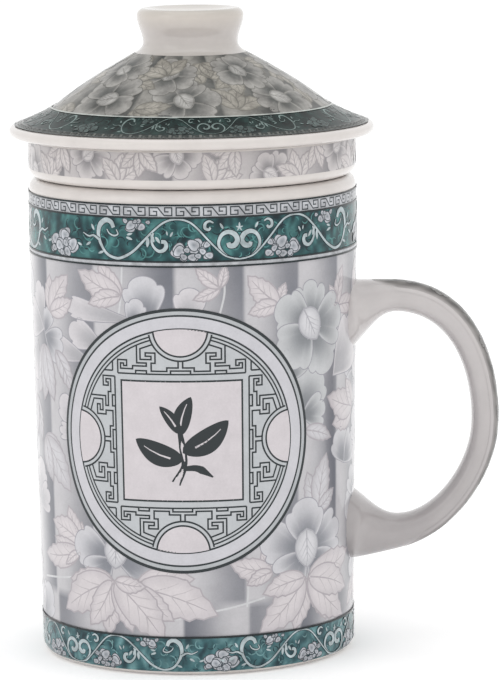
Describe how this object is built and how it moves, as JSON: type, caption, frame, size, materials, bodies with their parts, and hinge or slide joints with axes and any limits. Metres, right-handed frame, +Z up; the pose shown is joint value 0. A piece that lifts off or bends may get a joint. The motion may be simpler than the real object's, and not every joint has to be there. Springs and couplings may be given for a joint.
{
  "type": "lidded tea mug with infuser",
  "caption": "Tall porcelain mug with a side handle, a perforated infuser that hangs in its mouth and a domed lift-off lid with a knob, for steeping and drinking tea",
  "frame": {"origin": "on the mug's axis, on the plane that its foot ring stands on, at the mouth of the shallow recess inside that ring", "axes": "+Z up along the mug's axis, +X towards the handle, -Y towards the side that carries the round ornament"},
  "size_m": [0.1127, 0.0842, 0.149],
  "materials": {
    "mug_body": "clear glaze over printed white porcelain",
    "handle": "clear glaze over white porcelain with a soft grey print",
    "infuser": "clear glaze over white porcelain, printed band",
    "lid": "clear glaze over printed white porcelain",
    "lid_knob": "clear glaze over white porcelain"
  },
  "bodies": {
    "mug": {"mug_body": "mug_body", "handle": "handle"},
    "infuser": {"infuser": "infuser"},
    "lid": {"lid": "lid", "lid_knob": "lid_knob"}
  },
  "joints": [
    {"name": "infuser_lift", "type": "slide", "parent": "mug", "child": "infuser", "axis": [0, 0, 1], "range_m": [0, 0.08]},
    {"name": "lid_lift", "type": "slide", "parent": "infuser", "child": "lid", "axis": [0, 0, 1], "range_m": [0, 0.06]}
  ]
}
